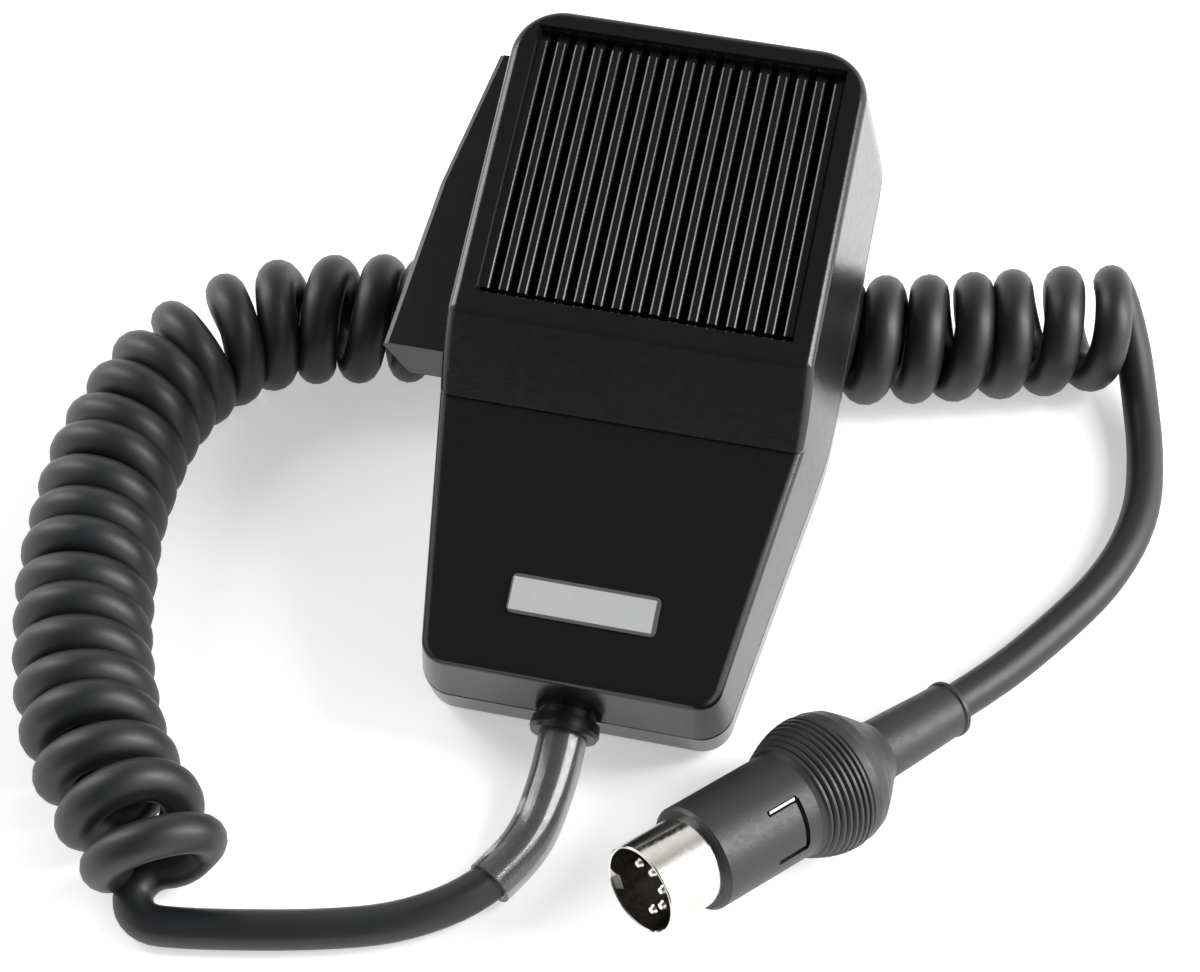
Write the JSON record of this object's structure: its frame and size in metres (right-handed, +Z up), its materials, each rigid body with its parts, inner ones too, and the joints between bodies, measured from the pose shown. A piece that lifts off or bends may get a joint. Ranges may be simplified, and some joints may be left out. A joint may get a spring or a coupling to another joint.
{
  "type": "hand microphone",
  "caption": "Handheld push-to-talk radio microphone with ribbed grille, side lever, hanger button, curly cord and round DIN plug.",
  "frame": {"origin": "centre of the bottom of the box round the microphone itself, on the surface it lies on", "axes": "+Z up, +Y from the cord end to the head of the microphone along the surface, +X to the right seen from above the face"},
  "size_m": [0.1696, 0.148, 0.0655],
  "materials": {
    "housing": "black moulded ABS, semi-gloss, fine texture",
    "lever": "black moulded ABS, satin",
    "label": "silver foil nameplate, blank, with a fine border",
    "steel": "zinc plated steel",
    "nickel": "nickel plated",
    "cloth": "thin black acoustic cloth",
    "capsule": "satin can",
    "foam": "soft black ring",
    "phenolic": "brown laminate",
    "plunger": "white acetal",
    "terminal": "tinned brass",
    "wire": "PVC insulated strands",
    "rubber": "black rubber, satin",
    "clear_sleeve": "clear grey tubing",
    "cord": "dark grey satin rubber jacket",
    "insulator": "dark phenolic disc",
    "plug_plastic": "dark grey flexible plastic, matte"
  },
  "bodies": {
    "housing": {"front_shell": "housing", "rear_shell": "housing", "label_plate": "label", "housing_screws": "steel", "hang_button": "nickel", "hang_button_screw": "steel", "dust_screen": "cloth", "mic_capsule": "capsule", "capsule_gasket": "foam", "ptt_pivot_pin": "steel", "ptt_spring": "steel", "switch_body": "phenolic", "switch_screws": "steel", "switch_terminals": "terminal", "cord_clamp": "phenolic", "cord_clamp_screws": "steel", "lead_wires": "wire", "capsule_wires": "wire", "cord_grommet": "rubber", "cord_sleeve": "clear_sleeve", "cord_lead": "cord", "cord_coil": "cord", "cord_tail": "cord", "plug_shell": "nickel", "plug_insulator": "insulator", "plug_pins": "nickel", "plug_frame": "nickel", "plug_cover": "plug_plastic", "plug_boot": "plug_plastic"},
    "ptt_lever": {"ptt_lever": "lever"},
    "switch_plunger": {"switch_plunger": "plunger"}
  },
  "joints": [
    {"name": "ptt_press", "type": "hinge", "parent": "housing", "child": "ptt_lever", "pos_m": [-0.02046, 0.0355, 0.04717], "axis": [0, -0.3173, 0.9483], "range_deg": [0, 5.5], "stiffness_Nm_per_rad": 0.7, "springref_deg": -4.01},
    {"name": "plunger_slide", "type": "slide", "parent": "housing", "child": "switch_plunger", "axis": [1, 0, 0], "range_m": [0, 0.0039]}
  ],
  "couplings": [
    {"joint": "plunger_slide", "follows": "ptt_press", "m_per_rad": 0.0394}
  ]
}
